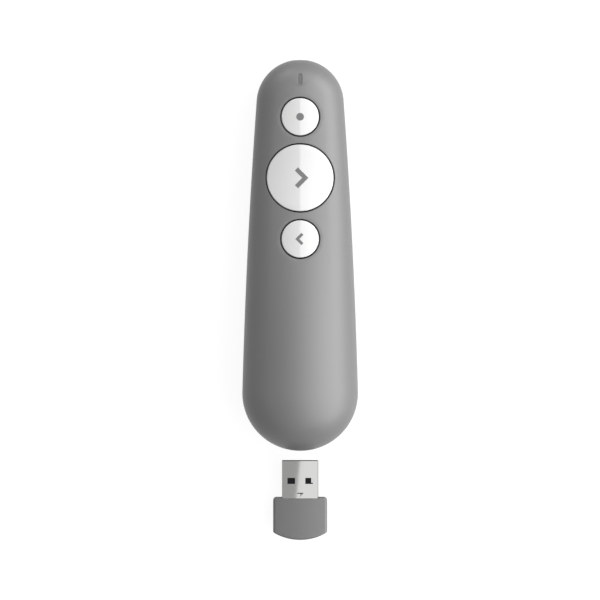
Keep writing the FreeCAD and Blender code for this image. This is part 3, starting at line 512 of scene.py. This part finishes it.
# Finishes: colour, roughness and how far it spreads, grain size, its relief, and colour shift
finishes = {
    "casingGrey": {"colour": (0.140, 0.140, 0.141), "roughness": 0.45, "specular": 0.80,
                   "grain": 5200, "relief": 0.010 * mm, "shift": 0.05},
    "gripGrey": {"colour": (0.112, 0.112, 0.113), "roughness": 0.36, "specular": 0.7,
                 "grain": 5200, "relief": 0.010 * mm, "shift": 0.05},
    "keyWhite": {"colour": (0.568, 0.568, 0.564), "roughness": 0.36, "coat": 1.0,
                 "coatRoughness": 0.05, "coatIndex": 2.0, "grain": 2500,
                 "relief": 0.001 * mm, "shift": 0.02},
    "markGrey": {"colour": (0.155, 0.155, 0.155), "roughness": 0.5, "specular": 0.3,
                 "relief": 0.002 * mm},
    "blackPlastic": {"colour": (0.012, 0.012, 0.013), "roughness": 0.5, "relief": 0.006 * mm},
    # black of the plug's tongue, also used as painted shade in the tab's slit
    "tongueBlackAndSlitShade": {"colour": (0.004, 0.004, 0.005), "roughness": 0.7, "specular": 0.15,
                    "relief": 0.004 * mm},
    "darkWindow": {"colour": (0.012, 0.003, 0.004), "roughness": 0.08, "relief": 0.0},
    "lightBar": {"colour": (0.100, 0.100, 0.102), "roughness": 0.30, "specular": 0.6,
                 "relief": 0.001 * mm},
    "boardGreen": {"colour": (0.012, 0.085, 0.035), "roughness": 0.35, "coat": 0.4,
                   "pattern": "tracks", "second": (0.030, 0.150, 0.060)},
    "chipBlack": {"colour": (0.016, 0.016, 0.017), "roughness": 0.55, "grain": 9000,
                  "relief": 0.006 * mm},
    "ceramicWhite": {"colour": (0.70, 0.67, 0.56), "roughness": 0.4, "relief": 0.002 * mm},
    "plugSteel": {"colour": (0.305, 0.308, 0.300), "roughness": 0.09, "metal": 1.0, "rim": 0.35,
                  "relief": 0.0, "shift": 0.0, "spread": 0.01, "pattern": "crown"},
    "steel": {"colour": (0.50, 0.50, 0.49), "roughness": 0.28, "metal": 1.0,
              "relief": 0.001 * mm},
    "springMetal": {"colour": (0.68, 0.66, 0.61), "roughness": 0.24, "metal": 1.0,
                    "relief": 0.001 * mm},
    "gold": {"colour": (0.80, 0.56, 0.22), "roughness": 0.22, "metal": 1.0,
             "relief": 0.001 * mm},
    "brass": {"colour": (0.66, 0.46, 0.19), "roughness": 0.28, "metal": 1.0, "relief": 0.0,
              "pattern": "turned"},
    "lensGlass": {"colour": (0.96, 0.98, 0.98), "roughness": 0.02, "glass": 1.0, "relief": 0.0,
                  "shift": 0.0, "spread": 0.0},
    "cellLeft": {"colour": (0.016, 0.017, 0.020), "roughness": 0.26, "relief": 0.001 * mm,
                 "pattern": "sleeve", "flatEnd": -12.4 * mm, "nubEnd": 31.3 * mm},
    "cellRight": {"colour": (0.016, 0.017, 0.020), "roughness": 0.26, "relief": 0.001 * mm,
                  "pattern": "sleeve", "flatEnd": 29.4 * mm, "nubEnd": -14.3 * mm},
    "flexAmber": {"colour": (0.36, 0.15, 0.025), "roughness": 0.3, "pattern": "traces",
                  "second": (0.60, 0.28, 0.08)},
}
toneLift = {"times": 1.5, "plus": 0.02}  # from a finish's colour to the lighter one it drifts to
materials = {}


def mathNode(tree, operation, first, second=None):
    # one Math node; first and second are sockets or numbers
    node = tree.nodes.new("ShaderNodeMath")
    node.operation = operation
    for place, value in enumerate((first, second)):
        if value is None:
            continue
        if isinstance(value, (int, float)):
            node.inputs[place].default_value = value
        else:
            tree.links.new(value, node.inputs[place])
    return node.outputs[0]


def mixColours(tree, factor, first, second):
    # first and second are sockets or colours
    node = tree.nodes.new("ShaderNodeMix")
    node.data_type = "RGBA"
    tree.links.new(factor, node.inputs["Factor"])
    for label, value in (("A", first), ("B", second)):
        if isinstance(value, tuple):
            node.inputs[label].default_value = (*value, 1)
        else:
            tree.links.new(value, node.inputs[label])
    return node.outputs["Result"]


def bump(tree, height, distance, before=None):
    # relief of this depth, laid over the normal from before
    node = tree.nodes.new("ShaderNodeBump")
    node.inputs["Distance"].default_value = distance
    tree.links.new(height, node.inputs["Height"])
    if before is not None:
        tree.links.new(before, node.inputs["Normal"])
    return node.outputs["Normal"]


def ownPlace(tree):
    # the piece's own coordinates
    return tree.nodes.new("ShaderNodeTexCoord").outputs["Object"]


def splitPlace(tree):
    # the same as separate X, Y and Z
    split = tree.nodes.new("ShaderNodeSeparateXYZ")
    tree.links.new(ownPlace(tree), split.inputs["Vector"])
    return split.outputs


def newGroup(name, inputs, outputs):
    # an empty node group with number sockets; inputs gives their default values
    group = bpy.data.node_groups.new(name, "ShaderNodeTree")
    sockets, number = group.interface, "NodeSocketFloat"
    for label, default in inputs.items():
        sockets.new_socket(label, in_out="INPUT", socket_type=number).default_value = default
    for label in outputs:
        sockets.new_socket(label, in_out="OUTPUT", socket_type=number)
    return group, group.nodes.new("NodeGroupInput"), group.nodes.new("NodeGroupOutput")


def placeGroup(tree, name, **values):
    node = tree.nodes.new("ShaderNodeGroup")
    node.node_tree = bpy.data.node_groups[name]
    for label, value in values.items():
        node.inputs[label].default_value = value
    return node.outputs


grainLook = {"fineDetail": 2.0, "coarseDetail": 3.0, "smudgeDetail": 4.0, "smudgeScale": 60.0}


def grainGroup():
    # two sizes of noise on the piece's own coordinates: a height, a small colour change and a
    # change of roughness with faint smudges
    inputs = {"Scale": 3000.0, "Coarse": 250.0, "Shift": 0.05}
    group, entry, leave = newGroup("surfaceGrain", inputs, ("Height", "Tone", "Soft"))
    links = group.links
    place = ownPlace(group)
    noises = {}
    for size in ("fine", "coarse", "smudge"):
        noises[size] = group.nodes.new("ShaderNodeTexNoise")
        noises[size].inputs["Detail"].default_value = grainLook[size + "Detail"]
        links.new(place, noises[size].inputs["Vector"])
    links.new(entry.outputs["Scale"], noises["fine"].inputs["Scale"])
    links.new(entry.outputs["Coarse"], noises["coarse"].inputs["Scale"])
    noises["smudge"].inputs["Scale"].default_value = grainLook["smudgeScale"]
    fine, coarse, smudge = [noise.outputs["Fac"] for noise in noises.values()]
    links.new(fine, leave.inputs["Height"])
    centred = mathNode(group, "SUBTRACT", coarse, 0.5)
    links.new(mathNode(group, "MULTIPLY", centred, entry.outputs["Shift"]), leave.inputs["Tone"])
    mean = mathNode(group, "MULTIPLY", mathNode(group, "ADD", coarse, smudge), 0.5)
    links.new(mean, leave.inputs["Soft"])


boardLook = {"scale": 420.0, "trackWidth": 0.035, "padRadius": 0.16, "relief": 0.02 * mm}


def tracksGroup():
    # copper runs under the solder mask and round pads, as masks
    inputs = {"Scale": boardLook["scale"]}
    group, entry, leave = newGroup("boardTracks", inputs, ("Tracks", "Pads"))
    links = group.links
    brick = group.nodes.new("ShaderNodeTexBrick")
    for label, grey in (("Color1", 0), ("Color2", 0), ("Mortar", 1)):
        brick.inputs[label].default_value = (grey, grey, grey, 1)
    brick.inputs["Mortar Size"].default_value = boardLook["trackWidth"]
    dots = group.nodes.new("ShaderNodeTexVoronoi")
    place = ownPlace(group)
    for node in (brick, dots):
        links.new(place, node.inputs["Vector"])
        links.new(entry.outputs["Scale"], node.inputs["Scale"])
    links.new(brick.outputs["Color"], leave.inputs["Tracks"])
    pads = mathNode(group, "LESS_THAN", dots.outputs["Distance"], boardLook["padRadius"])
    links.new(pads, leave.inputs["Pads"])


def bandGroup():
    # mask that is 1 where the piece's Y lies between From and To, with a soft edge
    inputs = {"From": 0.0, "To": 1.0, "Edge": 0.04 * mm}
    group, entry, leave = newGroup("bandAlong", inputs, ("Mask",))
    y = splitPlace(group)["Y"]
    over = mathNode(group, "SUBTRACT", y, entry.outputs["From"])
    under = mathNode(group, "SUBTRACT", entry.outputs["To"], y)
    step = group.nodes.new("ShaderNodeMapRange")
    group.links.new(mathNode(group, "MINIMUM", over, under), step.inputs["Value"])
    group.links.new(entry.outputs["Edge"], step.inputs["From Max"])
    group.links.new(step.outputs["Result"], leave.inputs["Mask"])


lineLook = {"turning": 2000.0, "turningRelief": 0.004 * mm, "traces": 350.0, "wander": 0.4}


def linesGroup():
    # fine parallel lines: across X for traces, along Y for turning marks
    inputs = {"Scale": lineLook["turning"]}
    group, entry, leave = newGroup("fineLines", inputs, ("Across", "Along"))
    place = ownPlace(group)
    for label, direction in (("Across", "X"), ("Along", "Y")):
        wave = group.nodes.new("ShaderNodeTexWave")
        wave.bands_direction = direction
        wave.inputs["Distortion"].default_value = lineLook["wander"]
        group.links.new(place, wave.inputs["Vector"])
        group.links.new(entry.outputs["Scale"], wave.inputs["Scale"])
        group.links.new(wave.outputs["Fac"], leave.inputs[label])


# Each pattern takes the tree, the finish, and the tone and normal so far, and gives both back
def boardPattern(tree, look, tone, normal):
    runs = placeGroup(tree, "boardTracks")
    tone = mixColours(tree, runs["Tracks"], tone, look["second"])
    tone = mixColours(tree, runs["Pads"], tone, finishes["gold"]["colour"])
    return tone, bump(tree, runs["Tracks"], boardLook["relief"], normal)


def turnedPattern(tree, look, tone, normal):
    lines = placeGroup(tree, "fineLines")
    return tone, bump(tree, lines["Along"], lineLook["turningRelief"], normal)


def tracePattern(tree, look, tone, normal):
    lines = placeGroup(tree, "fineLines", Scale=lineLook["traces"])
    return mixColours(tree, lines["Across"], tone, look["second"]), normal


sleeveLook = {"colour": (0.52, 0.26, 0.09), "length": 13 * mm, "pastNub": 5 * mm,
              "bareEnd": 0.7 * mm, "relief": 0.05 * mm}


def sleevePattern(tree, look, tone, normal):
    # printed sleeve of a cell: a coppery band next to the nub's end, bare steel at both ends
    flat, nub = look["flatEnd"], look["nubEnd"]
    sign = 1 if nub > flat else -1
    low, high = sorted((nub - sign * sleeveLook["length"], nub + sign * sleeveLook["pastNub"]))
    band = placeGroup(tree, "bandAlong", From=low, To=high)["Mask"]
    inside = placeGroup(tree, "bandAlong", From=min(flat, nub) + sleeveLook["bareEnd"],
                        To=max(flat, nub) - sleeveLook["bareEnd"])["Mask"]
    bare = mathNode(tree, "SUBTRACT", 1.0, inside)
    tone = mixColours(tree, band, tone, sleeveLook["colour"])
    tone = mixColours(tree, bare, tone, finishes["springMetal"]["colour"])
    metal = tree.nodes["Principled BSDF"].inputs["Metallic"]
    tree.links.new(mathNode(tree, "MAXIMUM", band, bare), metal)
    return tone, bump(tree, inside, sleeveLook["relief"], normal)


# The plug's sheet: a very flat crown, painted shade along the rounded edge at the mouth and painted
# shade on the bend at the right
plugLook = {"radius": 70 * mm, "lean": 0.101, "shift": 5.29 * mm,
            "mouth": -53.0 * mm, "lip": 0.32 * mm, "pastMouth": 1 * mm,
            "mouthShadeColour": (0.09, 0.09, 0.09), "bendFrom": 5.7 * mm,
            "bendShadeColour": (0.15, 0.15, 0.15)}


def crownPattern(tree, look, tone, normal):
    # the crown's height is -(x - lean * y - shift)^2 / (2 * radius)
    place = splitPlace(tree)
    leaning = mathNode(tree, "MULTIPLY", place["Y"], plugLook["lean"])
    away = mathNode(tree, "SUBTRACT", place["X"], leaning)
    away = mathNode(tree, "SUBTRACT", away, plugLook["shift"])
    square = mathNode(tree, "MULTIPLY", away, away)
    height = mathNode(tree, "MULTIPLY", square, -1 / (2 * plugLook["radius"]))
    # painted shade: a darker band along the rounded edge at the mouth
    lip = placeGroup(tree, "bandAlong", From=plugLook["mouth"] - plugLook["lip"],
                     To=plugLook["mouth"] + plugLook["pastMouth"])["Mask"]
    tone = mixColours(tree, lip, tone, plugLook["mouthShadeColour"])
    # painted shade: the bend on the right is darker, holding back the bright reflection of the
    # lamps there
    bend = mathNode(tree, "GREATER_THAN", place["X"], plugLook["bendFrom"])
    tone = mixColours(tree, bend, tone, plugLook["bendShadeColour"])
    return tone, bump(tree, height, 1.0, normal)


patterns = {"tracks": boardPattern, "turned": turnedPattern, "traces": tracePattern,
            "sleeve": sleevePattern, "crown": crownPattern}


def makeMaterial(name, own):
    # Principled finish: grain in its bump, slow changes of tone and roughness, and its pattern
    look = {**plainFinish, **own}
    material = bpy.data.materials.new(name)
    material.use_nodes = True
    tree = material.node_tree
    shader = tree.nodes["Principled BSDF"]
    for label, value in plainSockets.items():
        shader.inputs[label].default_value = look[value]
    shader.inputs["Specular Tint"].default_value = (look["rim"], look["rim"], look["rim"], 1)
    grain = placeGroup(tree, "surfaceGrain", Scale=look["grain"], Shift=look["shift"])
    rough = tree.nodes.new("ShaderNodeMapRange")
    rough.inputs["To Min"].default_value = max(look["roughness"] - look["spread"], 0.0)
    rough.inputs["To Max"].default_value = min(look["roughness"] + look["spread"], 1.0)
    tree.links.new(grain["Soft"], rough.inputs["Value"])
    tree.links.new(rough.outputs["Result"], shader.inputs["Roughness"])
    lighter = tuple(min(part * toneLift["times"] + toneLift["plus"], 1.0)
                    for part in look["colour"])
    tone = mixColours(tree, grain["Tone"], look["colour"], lighter)
    tone.node.clamp_factor = False
    normal = bump(tree, grain["Height"], look["relief"]) if look["relief"] else None
    if look["pattern"]:
        tone, normal = patterns[look["pattern"]](tree, look, tone, normal)
    tree.links.new(tone, shader.inputs["Base Color"])
    if normal is not None:
        tree.links.new(normal, shader.inputs["Normal"])
    materials[name] = material


def makeMaterials():
    for makeGroup in (grainGroup, tracksGroup, bandGroup, linesGroup):
        makeGroup()
    for name, look in finishes.items():
        makeMaterial(name, look)


slotFinish = {
    "casing_grey": "casingGrey", "key_white": "keyWhite", "mark_grey": "markGrey",
    "black_plastic": "blackPlastic", "dark_window": "darkWindow", "light_bar": "lightBar",
    "board_green": "boardGreen", "chip_black": "chipBlack", "ceramic_white": "ceramicWhite",
    "steel": "steel", "spring_metal": "springMetal", "gold": "gold", "brass": "brass",
    "lens_glass": "lensGlass", "flex_amber": "flexAmber",
}
ownFinish = {"battery_left": "cellLeft", "battery_right": "cellRight", "plug_shell": "plugSteel",
             "receiver_cover": "gripGrey", "receiver_base": "gripGrey",
             "plug_tongue": "tongueBlackAndSlitShade"}


def nodeFinish(name, slot):
    return ownFinish[name] if name in ownFinish else slotFinish[slot]


def dressNodes():
    # gives every CAD node its own finish or that of its material slot
    for row in frame["record"]["subparts"]:
        for place in frame["nodes"][row["node"]].material_slots:
            place.material = materials[nodeFinish(row["node"], row["material_slot"])]


# The camera looks straight down from far away; middleX and middleY are the pixel over the origin
view = {"pixelsPerMetre": 3030.0, "frame": 600, "middleX": 300.15, "middleY": 299.65,
        "lens": 1600.0, "sensor": 36.0, "near": 0.05, "far": 80.0}


def makeCamera():
    data = bpy.data.cameras.new("camera")
    data.lens, data.sensor_width = view["lens"], view["sensor"]
    data.clip_start, data.clip_end = view["near"], view["far"]
    camera = bpy.data.objects.new("camera", data)
    bpy.context.scene.collection.objects.link(camera)
    half = view["frame"] / 2
    distance = view["frame"] / view["pixelsPerMetre"] * view["lens"] / view["sensor"]
    camera.location = ((half - view["middleX"]) / view["pixelsPerMetre"],
                       (view["middleY"] - half) / view["pixelsPerMetre"],
                       casing["parting"] + distance)
    bpy.context.scene.camera = camera


# Lamps: angle from straight above, compass turn from +X, width and length in metres, brightness
lamps = {
    "abovePanel": {"angle": 10, "turn": 0, "width": 0.282, "length": 1.4, "level": 1.25},
    "keyPanel": {"angle": 30, "turn": 0, "width": 0.282, "length": 1.6, "level": 2.55},
    "highPanel": {"angle": 50, "turn": 0, "width": 0.282, "length": 1.6, "level": 3.8},
    "sidePanel": {"angle": 70, "turn": 0, "width": 0.282, "length": 1.6, "level": 3.1},
    "lowPanel": {"angle": 88, "turn": 0, "width": 0.282, "length": 1.6, "level": 1.75},
    "leftPanel": {"angle": -80, "turn": 0, "width": 0.282, "length": 1.6, "level": 0.30},
    "nosePanel": {"angle": 60, "turn": 65, "width": 0.6, "length": 0.6, "level": 1.4},
    "noseLeftPanel": {"angle": 78, "turn": 112, "width": 0.4, "length": 0.4, "level": 2.4},
}
lampDistance = 0.8
# What the camera, gloss and glass see of the room, and what light matt surfaces get from it
roomLook = {"seen": 1.0, "light": 0.08}
floorLook = {"colour": (0.14, 0.14, 0.14), "roughness": 0.9, "glow": 0.93, "reach": 3.0}


def makeLamps():
    # each panel faces the origin; its power is level times pi times its area
    for name, lamp in lamps.items():
        data = bpy.data.lights.new(name, "AREA")
        data.shape = "RECTANGLE"
        data.size, data.size_y = lamp["width"], lamp["length"]
        data.energy = lamp["level"] * math.pi * lamp["width"] * lamp["length"]
        panel = bpy.data.objects.new(name, data)
        bpy.context.scene.collection.objects.link(panel)
        tilt, turn = math.radians(lamp["angle"]), math.radians(lamp["turn"])
        aside = math.sin(tilt)
        out = Vector((aside * math.cos(turn), aside * math.sin(turn), math.cos(tilt)))
        panel.location = out * lampDistance
        panel.rotation_euler = (0.0, tilt, turn)
        panel.visible_camera = False


def seenDirectly(tree):
    # 1 for camera, glossy and transmission rays, 0 for the rest
    path = tree.nodes.new("ShaderNodeLightPath").outputs
    seen = mathNode(tree, "MAXIMUM", path["Is Camera Ray"], path["Is Glossy Ray"])
    return mathNode(tree, "MAXIMUM", seen, path["Is Transmission Ray"])


def makeRoom():
    world = bpy.data.worlds.new("room")
    bpy.context.scene.world = world
    world.use_nodes = True
    tree = world.node_tree
    sky = tree.nodes["Background"]
    sky.inputs["Color"].default_value = (1, 1, 1, 1)
    seen = mathNode(tree, "MULTIPLY", seenDirectly(tree), roomLook["seen"])
    tree.links.new(mathNode(tree, "MAXIMUM", seen, roomLook["light"]), sky.inputs["Strength"])


def floorMaterial():
    # plain pale floor that glows white where it is seen; from below it is clear, so that the
    # underside shows
    material = bpy.data.materials.new("floorWhite")
    material.use_nodes = True
    tree = material.node_tree
    shader = tree.nodes["Principled BSDF"]
    shader.inputs["Base Color"].default_value = (*floorLook["colour"], 1)
    shader.inputs["Roughness"].default_value = floorLook["roughness"]
    shader.inputs["Specular IOR Level"].default_value = 0.0
    shader.inputs["Emission Color"].default_value = (1, 1, 1, 1)
    glow = mathNode(tree, "MULTIPLY", seenDirectly(tree), floorLook["glow"])
    tree.links.new(glow, shader.inputs["Emission Strength"])
    below = tree.nodes.new("ShaderNodeNewGeometry").outputs["Backfacing"]
    clear = tree.nodes.new("ShaderNodeBsdfTransparent")
    mix = tree.nodes.new("ShaderNodeMixShader")
    tree.links.new(below, mix.inputs["Fac"])
    tree.links.new(shader.outputs["BSDF"], mix.inputs[1])
    tree.links.new(clear.outputs["BSDF"], mix.inputs[2])
    tree.links.new(mix.outputs["Shader"], tree.nodes["Material Output"].inputs["Surface"])
    return material


def makeFloor():
    reach = floorLook["reach"]
    corners = [(-reach, -reach, 0), (reach, -reach, 0), (reach, reach, 0), (-reach, reach, 0)]
    mesh = bpy.data.meshes.new("floor")
    mesh.from_pydata(corners, [], [(0, 1, 2, 3)])
    mesh.materials.append(floorMaterial())
    floor = bpy.data.objects.new("floor", mesh)
    bpy.context.scene.collection.objects.link(floor)


makeMaterials()
dressNodes()
print("materials made")
casingTop()
print("upper casing made")
for keyName in keys:
    keyCap(keyName)
dot("laser")
chevron("next")
chevron("back")
print("keys made")
for nodeName in softened:
    softCopy(nodeName)
pressedTab()
tabSlitShade()
print("lower casing, door and plug made")
makeCamera()
makeLamps()
makeRoom()
makeFloor()
bpy.context.scene.view_settings.view_transform = "Standard"
print("stage made")
